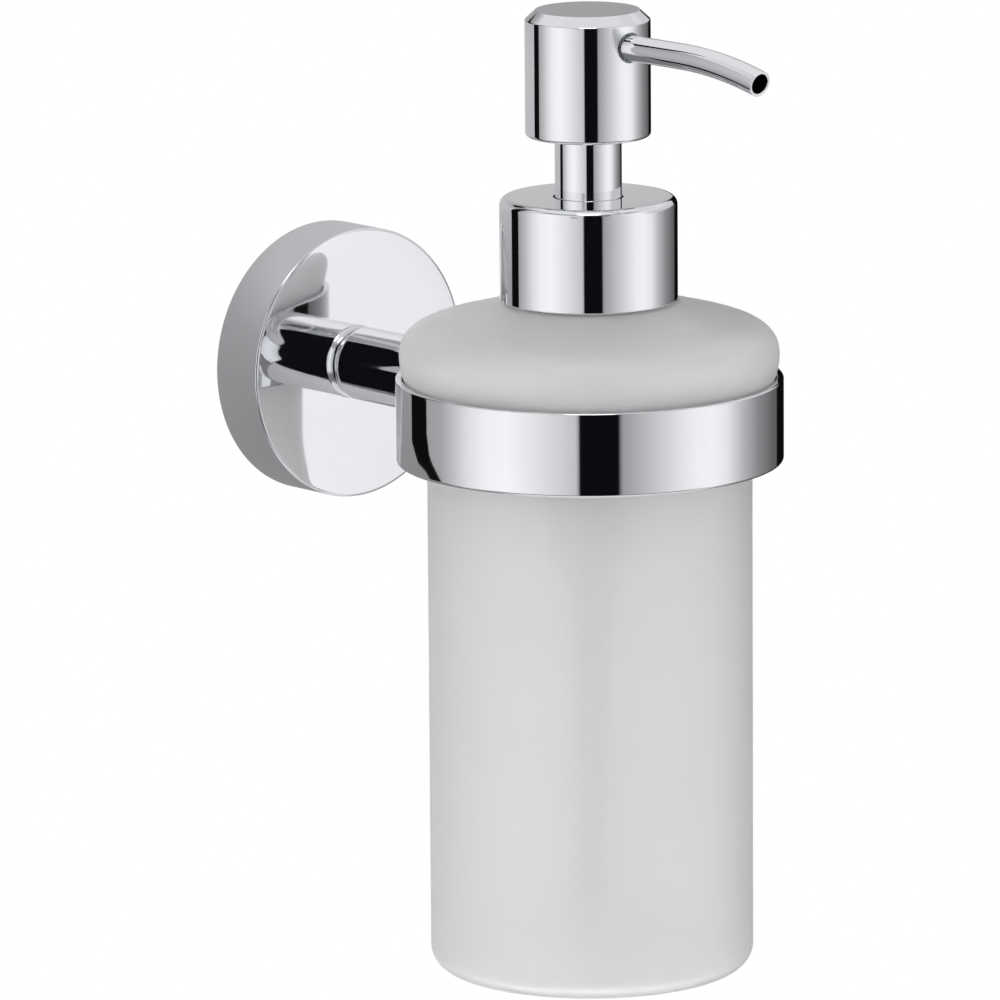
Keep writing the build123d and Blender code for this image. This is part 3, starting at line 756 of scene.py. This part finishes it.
def head_normals(ob, pts, crease=28.0):
    """Puts the exact normals of the lathed profile back after the hole is cut."""
    me = ob.data
    n = len(pts)
    segs = section_normals(pts)
    ends = []
    for s in range(n):
        pair = []
        for c, other in ((s, segs[s - 1]), ((s + 1) % n, segs[(s + 1) % n])):
            me_n = segs[s]
            dot = max(-1, min(1, me_n[0] * other[0] + me_n[1] * other[1]))
            if math.degrees(math.acos(dot)) < crease:
                la = math.hypot(pts[c][0] - pts[c - 1][0], pts[c][1] - pts[c - 1][1])
                lb = math.hypot(pts[(c + 1) % n][0] - pts[c][0], pts[(c + 1) % n][1] - pts[c][1])
                pair.append(unit((segs[c - 1][0] * la + segs[c][0] * lb, segs[c - 1][1] * la + segs[c][1] * lb)))
            else:
                pair.append(me_n)
        ends.append(pair)
    p0 = np.array([p[:2] for p in pts])
    p1 = np.roll(p0, -1, axis=0)
    d = p1 - p0
    ll = np.maximum((d * d).sum(1), 1e-12)
    co = np.array([v.co for v in me.vertices])
    ax, ay = co[:, 0] - JX, co[:, 1] - JY
    rr, hh = np.hypot(ax, ay) / MM, co[:, 2] / MM
    seg_n = np.array(segs)
    loop_n = []
    for poly in me.polygons:
        ids = list(poly.vertices)
        on_hole = all(abs(math.hypot(co[i, 0] - JX, co[i, 2] - SPOUT_Z * MM) - 2.8 * MM) < 2e-5 for i in ids)
        if on_hole and abs(poly.normal.y) < 0.2:
            for i in ids:
                loop_n.append(Vector((JX - co[i, 0], 0.0, SPOUT_Z * MM - co[i, 2])).normalized())
            continue
        mid = np.array([rr[ids].mean(), hh[ids].mean()])
        c = Vector(poly.center)
        rad = Vector((c.x - JX, c.y - JY, 0.0))
        rad = rad.normalized() if rad.length > 1e-9 else Vector((1, 0, 0))
        fn = np.array([poly.normal.dot(rad), poly.normal.z])
        t = np.clip(((mid - p0) * d).sum(1) / ll, 0, 1)
        dist = np.hypot(*(p0 + d * t[:, None] - mid).T) + 0.4 * (1 - seg_n @ fn)
        s = int(dist.argmin())
        for i in ids:
            q = np.array([rr[i], hh[i]])
            f = float(np.clip(((q - p0[s]) * d[s]).sum() / ll[s], 0, 1))
            a, b = ends[s]
            nr, nh = a[0] + (b[0] - a[0]) * f, a[1] + (b[1] - a[1]) * f
            if rr[i] > 1e-4:
                v = Vector((nr * ax[i] / (rr[i] * MM), nr * ay[i] / (rr[i] * MM), nh))
            else:
                v = Vector((0, 0, nh))
            loop_n.append(v.normalized())
    for poly in me.polygons:
        poly.use_smooth = True
    me.normals_split_custom_set([tuple(v) for v in loop_n])


apply_boolean(head, cutter)
head_normals(head, HEAD_PTS)
bpy.data.objects.remove(cutter)

for ob, body, node, slot, mat in (
    (rosette, "holder", "rosette", "chrome", M_CHROME),
    (arm, "holder", "arm", "chrome", M_CHROME),
    (holder, "holder", "holder_ring", "chrome", M_CHROME),
    (liner, "holder", "ring_liner", "clear_plastic", M_CLEAR),
    (jar, "jar", "glass_jar", "frosted_glass", M_GLASS),
    (collar, "pump", "collar", "chrome", M_CHROME),
    (stem, "head_unit", "stem_sleeve", "chrome", M_CHROME),
    (head, "head_unit", "head", "chrome", M_CHROME),
    (spout, "head_unit", "spout", "chrome", M_CHROME),
):
    finish_piece(ob, body, node, mat)

# ------------------------------------------------------------------ camera
A, E, ROLL = math.radians(-42.27444), math.radians(11.22215), math.radians(-0.28876)
back = Vector((math.sin(A) * math.cos(E), -math.cos(A) * math.cos(E), math.sin(E)))
right = Vector((math.cos(A), math.sin(A), 0.0))
up = back.cross(right)
R = right * math.cos(ROLL) + up * math.sin(ROLL)
U = up * math.cos(ROLL) - right * math.sin(ROLL)
pos = Vector((0, JY, 0)) + back * 1.75703
F = (-back - R * 0.009308 - U * 0.009316).normalized()
B2 = -F
R2 = (R - F * F.dot(R)).normalized()
U2 = B2.cross(R2)
cam_data = bpy.data.cameras.new("camera")
cam_data.lens = 346.18
cam_data.sensor_width = 36.0
cam_data.clip_start, cam_data.clip_end = 0.05, 50.0
cam = bpy.data.objects.new("camera", cam_data)
bpy.context.scene.collection.objects.link(cam)
cam.matrix_world = Matrix(((R2.x, U2.x, B2.x, pos.x), (R2.y, U2.y, B2.y, pos.y), (R2.z, U2.z, B2.z, pos.z), (0, 0, 0, 1)))
bpy.context.scene.camera = cam

# ------------------------------------------------------------------ studio
scene = bpy.context.scene
scene.view_settings.view_transform = "Standard"
scene.view_settings.look = "None"
scene.view_settings.exposure = 0.0
scene.view_settings.gamma = 1.0


# brightness of the studio round the object, by the angle from the camera's
# side: a large soft box on the left, one on the right, black strips between
ROUND = [(-180, 0.34), (-112, 0.38), (-100, 0.41), (-89, 0.58), (-77, 0.84), (-65, 1.0), (-50, 1.05), (-30, 0.86),
         (-16, 0.71), (-7.4, 0.60), (-6, 0.004), (17.5, 0.004), (18.8, 0.36), (35, 0.58), (55, 0.86), (65, 0.98),
         (77, 1.02), (89, 0.90), (103, 0.53), (119, 0.28), (140, 0.13), (146, 0.125), (149, 0.004), (180, 0.004)]

SOFT_LOW, SOFT_TOP = 1.0, 0.64
THROUGH = 1.6
world = bpy.data.worlds.new("studio")
scene.world = world
world.use_nodes = True
nt = world.node_tree
for n in list(nt.nodes):
    nt.nodes.remove(n)
wout = nt.nodes.new("ShaderNodeOutputWorld")
tc = nt.nodes.new("ShaderNodeTexCoord")
sep = nt.nodes.new("ShaderNodeSeparateXYZ")
link(nt, tc.outputs["Generated"], sep.inputs[0])
nx, ny, nz = sep.outputs
neg_y = math_node(nt, "MULTIPLY", ny, -1.0)
az = math_node(nt, "ARCTAN2", nx, neg_y)
az = math_node(nt, "ADD", az, math.radians(42.27) + math.pi)
az = math_node(nt, "MODULO", az, 2 * math.pi)
fac = math_node(nt, "DIVIDE", az, 2 * math.pi)


def around(stops):
    """A float curve of brightness against the angle."""
    c = nt.nodes.new("ShaderNodeFloatCurve")
    cu = c.mapping.curves[0]
    c.mapping.use_clip = False
    pts = [((a + 180) / 360, v) for a, v in stops]
    while len(cu.points) > 2:
        cu.points.remove(cu.points[1])
    cu.points[0].location = pts[0]
    cu.points[-1].location = pts[-1]
    for p in pts[1:-1]:
        cu.points.new(*p)
    for p in cu.points:
        p.handle_type = "VECTOR"
    c.mapping.update()
    link(nt, fac, c.inputs["Value"])
    return c.outputs[0]


stripes = around(ROUND)
elev = math_node(nt, "MULTIPLY", math_node(nt, "ARCSINE", nz), 180 / math.pi)


def smooth_between(val, lo, hi):
    m = nt.nodes.new("ShaderNodeMapRange")
    m.interpolation_type = "SMOOTHSTEP"
    m.inputs["From Min"].default_value = lo
    m.inputs["From Max"].default_value = hi
    link(nt, val, m.inputs["Value"])
    return m.outputs[0]


def mixf(a, b, f):
    m = nt.nodes.new("ShaderNodeMix")
    m.data_type = "FLOAT"
    for key, v in (("A", a), ("B", b), ("Factor", f)):
        if isinstance(v, (int, float)):
            m.inputs[key].default_value = v
        else:
            link(nt, v, m.inputs[key])
    return m.outputs[0]


# the front half turns grey overhead, the back half stays bright, and all of
# it is white at the very top; below, a grey skirt and then the pale floor
facing = math_node(nt, "COSINE", math_node(nt, "SUBTRACT", az, math.pi))
front = smooth_between(facing, -0.1, 0.35)
below = math_node(nt, "MULTIPLY", elev, -1.0)
over = mixf(0.74, 0.42, front)
turn = math_node(nt, "MULTIPLY_ADD", az, 180 / math.pi, -180.0)
right_half = smooth_between(turn, -20.0, 20.0)
rise = mixf(smooth_between(elev, 28.0, 35.0), smooth_between(elev, 2.0, 10.0), right_half)
high = mixf(0.66, 0.9, smooth_between(elev, 20.0, 45.0))
val = mixf(stripes, high, math_node(nt, "MULTIPLY", rise, math_node(nt, "SUBTRACT", 1.0, front)))
val = mixf(val, over, smooth_between(elev, 37.0, 39.0))
# the front black strip ends in a wider flag overhead, with a bright edge
flag = math_node(nt, "MULTIPLY", smooth_between(turn, -6.5, -5.5), math_node(nt, "SUBTRACT", 1.0, smooth_between(turn, 30.0, 31.5)))
band = math_node(nt, "MULTIPLY", smooth_between(elev, 30.0, 31.0), math_node(nt, "SUBTRACT", 1.0, smooth_between(elev, 42.0, 43.0)))
rim = math_node(nt, "MULTIPLY", smooth_between(elev, 42.0, 43.0), math_node(nt, "SUBTRACT", 1.0, smooth_between(elev, 45.0, 46.0)))
val = mixf(val, 0.004, math_node(nt, "MULTIPLY", flag, band))
val = mixf(val, 0.95, math_node(nt, "MULTIPLY", math_node(nt, "MULTIPLY", flag, rim), 0.8))
val = mixf(val, 0.80, smooth_between(elev, 50.0, 60.0))
skirt = math_node(nt, "MULTIPLY", smooth_between(below, 20.0, 33.0), smooth_between(facing, 0.0, 0.3))
stripe_gap = math_node(nt, "LESS_THAN", stripes, 0.02)
skirt = math_node(nt, "MULTIPLY", skirt, math_node(nt, "SUBTRACT", 1.0, math_node(nt, "MULTIPLY", stripe_gap, math_node(nt, "LESS_THAN", below, 39.0))))
val = mixf(val, 0.235, skirt)
val = mixf(val, 0.86, smooth_between(below, 48.0, 58.0))
comb = nt.nodes.new("ShaderNodeCombineColor")
link(nt, val, comb.inputs[0])
link(nt, val, comb.inputs[1])
link(nt, math_node(nt, "MULTIPLY_ADD", val, 1.02, 0.002), comb.inputs[2])
bg = nt.nodes.new("ShaderNodeBackground")
link(nt, comb.outputs[0], bg.inputs["Color"])
bg_cam = nt.nodes.new("ShaderNodeBackground")
bg_cam.inputs["Color"].default_value = (1, 1, 1, 1)
lp = nt.nodes.new("ShaderNodeLightPath")
# matt surfaces see an even white cove, a little brighter below
bg_soft = nt.nodes.new("ShaderNodeBackground")
side = math_node(nt, "COSINE", math_node(nt, "SUBTRACT", az, math.pi + math.radians(-35)))
soft = mixf(SOFT_LOW, SOFT_TOP, smooth_between(elev, -10.0, 60.0))
soft = math_node(nt, "MULTIPLY", soft, math_node(nt, "MULTIPLY_ADD", side, 0.15, 1.0))
soft_c = nt.nodes.new("ShaderNodeCombineColor")
for k in range(3):
    link(nt, soft, soft_c.inputs[k])
link(nt, soft_c.outputs[0], bg_soft.inputs["Color"])
mixd = nt.nodes.new("ShaderNodeMixShader")
link(nt, lp.outputs["Is Diffuse Ray"], mixd.inputs[0])
link(nt, bg.outputs[0], mixd.inputs[1])
link(nt, bg_soft.outputs[0], mixd.inputs[2])
world.cycles.sampling_method = "NONE"
# light that comes through the frosted wall is the white cove too
bg_thru = nt.nodes.new("ShaderNodeBackground")
bg_thru.inputs["Color"].default_value = (THROUGH, THROUGH, THROUGH, 1)
mixt = nt.nodes.new("ShaderNodeMixShader")
link(nt, lp.outputs["Is Transmission Ray"], mixt.inputs[0])
link(nt, mixd.outputs[0], mixt.inputs[1])
link(nt, bg_thru.outputs[0], mixt.inputs[2])
mixs = nt.nodes.new("ShaderNodeMixShader")
link(nt, lp.outputs["Is Camera Ray"], mixs.inputs[0])
link(nt, mixt.outputs[0], mixs.inputs[1])
link(nt, bg_cam.outputs[0], mixs.inputs[2])
link(nt, mixs.outputs[0], wout.inputs["Surface"])


def emit_board(name, corners, graded, tint=(1.0, 1.0, 1.02), cam_visible=False, glossy=True):
    """A flat studio board. graded is a list of (height in m, strength)."""
    me = bpy.data.meshes.new(name)
    me.from_pydata(corners, [], [list(range(len(corners)))])
    ob = bpy.data.objects.new(name, me)
    scene.collection.objects.link(ob)
    m = bpy.data.materials.new(name)
    m.use_nodes = True
    t = m.node_tree
    for n in list(t.nodes):
        t.nodes.remove(n)
    o = t.nodes.new("ShaderNodeOutputMaterial")
    em = t.nodes.new("ShaderNodeEmission")
    link(t, em.outputs[0], o.inputs["Surface"])
    geo = t.nodes.new("ShaderNodeNewGeometry")
    s = t.nodes.new("ShaderNodeSeparateXYZ")
    link(t, geo.outputs["Position"], s.inputs[0])
    lo_z, hi_z = graded[0][0], graded[-1][0]
    if len(graded) > 1:
        mr = t.nodes.new("ShaderNodeMapRange")
        mr.inputs["From Min"].default_value = lo_z
        mr.inputs["From Max"].default_value = hi_z
        link(t, s.outputs[2], mr.inputs["Value"])
        stops = [((z - lo_z) / (hi_z - lo_z), (v * tint[0], v * tint[1], v * tint[2], 1)) for z, v in graded]
        link(t, ramp(t, mr.outputs[0], stops), em.inputs["Color"])
    else:
        v = graded[0][1]
        em.inputs["Color"].default_value = (v, v, v, 1)
    me.materials.append(m)
    ob.visible_camera = cam_visible
    ob.visible_glossy = glossy
    ob.visible_diffuse = False
    ob.visible_transmission = False
    ob.visible_shadow = False
    return ob


def wall_board(name, outline, graded):
    """A board standing just behind the wall's line. outline is (x, z)."""
    return emit_board(name, [(x, 0.0012, z) for x, z in outline], graded)


# seen in the sides of the chrome: a narrow black flag left of the arm that
# tapers upwards and leans away below, a pale grey board behind the object and
# a black flag to its right
LEAN_IN = [(-0.041, -0.016), (-0.052, -0.0206), (-0.065, -0.0232), (-0.095, -0.032), (-0.13, -0.25)]
LEAN_OUT = [(-0.068, -0.016), (-0.0725, -0.0206), (-0.079, -0.0232), (-0.106, -0.032), (-0.15, -0.25)]
wall_board("board_left_black", [(-0.0675, 0.185), (-0.060, 0.185), (-0.041, 0.105)] + LEAN_IN + LEAN_OUT[::-1] + [(-0.068, 0.105)],
           [(0, 0.004)])
wall_board("board_grey", [(0.115, 0.35), (0.115, 0.051), (0.088, 0.051), (0.088, -0.25)] + LEAN_IN[::-1] + [(-0.041, 0.105), (-0.0595, 0.187), (-0.0595, 0.35)],
           [(-0.25, 0.27), (-0.04, 0.27), (-0.018, 0.29), (0.0, 0.325), (0.012, 0.37), (0.02, 0.45), (0.027, 0.54), (0.055, 0.57),
            (0.07, 0.50), (0.094, 0.36), (0.112, 0.40), (0.135, 0.80), (0.35, 0.88)])
wall_board("board_right_black", [(0.088, -0.25), (0.35, -0.25), (0.35, 0.10), (0.115, 0.10), (0.115, 0.051), (0.088, 0.051)],
           [(0, 0.004)])
# small black flag seen in the left end of the head's bevel
emit_board("board_bevel_black", [(-0.026, 0.0008, 0.082), (0.004, 0.0008, 0.082), (0.012, 0.0008, 0.100), (-0.016, 0.0008, 0.114)], [(0, 0.004)])
# a low light out in front, left of the camera: the bright wedge in the arm
back_h = Vector((math.sin(A), -math.cos(A), 0))
side_h = Vector((math.cos(A), math.sin(A), 0))
wedge = [Vector((0, JY, h)) + back_h * 0.267 + side_h * d for d, h in
         ((-0.057, 0.066), (-0.0612, 0.034), (-0.11, 0.034), (-0.11, 0.22), (-0.0612, 0.11))]
emit_board("board_wedge_light", [tuple(p) for p in wedge], [(0, 0.5)])


def pale_floor():
    """A large pale floor far below. It is white to the camera and lights
    the object's underside. From below it isn't there."""
    me = bpy.data.meshes.new("floor")
    s, z = 6.0, -0.42
    me.from_pydata([(-s, -s, z), (s, -s, z), (s, s, z), (-s, s, z)], [], [[0, 1, 2, 3]])
    ob = bpy.data.objects.new("floor", me)
    scene.collection.objects.link(ob)
    m, t, o = new_mat("pale_floor")
    em = t.nodes.new("ShaderNodeEmission")
    em.inputs["Color"].default_value = (1, 1, 1, 1)
    em.inputs["Strength"].default_value = 1.0
    tr = t.nodes.new("ShaderNodeBsdfTransparent")
    geo = t.nodes.new("ShaderNodeNewGeometry")
    mx = t.nodes.new("ShaderNodeMixShader")
    link(t, geo.outputs["Backfacing"], mx.inputs[0])
    link(t, em.outputs[0], mx.inputs[1])
    link(t, tr.outputs[0], mx.inputs[2])
    link(t, mx.outputs[0], o.inputs["Surface"])
    me.materials.append(m)
    ob.visible_glossy = False
    ob.visible_diffuse = False
    ob.visible_shadow = False


pale_floor()


def softbox(name, loc, aim, size, power, color=(1, 1, 1)):
    ld = bpy.data.lights.new(name, "AREA")
    ld.shape = "RECTANGLE"
    ld.size, ld.size_y = size
    ld.energy = power
    ld.color = color
    lo = bpy.data.objects.new(name, ld)
    lo.location = loc
    lo.rotation_mode = "QUATERNION"
    lo.rotation_quaternion = (Vector(aim) - Vector(loc)).to_track_quat("-Z", "Y")
    lo.visible_glossy = False
    scene.collection.objects.link(lo)
    return lo


# soft fill that the chrome doesn't see, from above and in front
softbox("fill_top", (-0.3, -0.6, 1.2), (0, JY, -0.02), (0.9, 0.9), 0.4)


def toward(azimuth, elevation, distance):
    """A point seen from the jar at an angle from the camera's side."""
    a, e = math.radians(azimuth) + A, math.radians(elevation)
    return Vector((math.sin(a) * math.cos(e), -math.cos(a) * math.cos(e), math.sin(e))) * distance + Vector((0, JY, 0))


# overhead box in front: the soft sheen on the glass shoulder and the white
# line along the chrome's top edges
key = softbox("key_overhead", toward(0, 61, 1.1), (0, JY, 0.01), (0.42, 0.26), 1.1)
key.visible_glossy = True
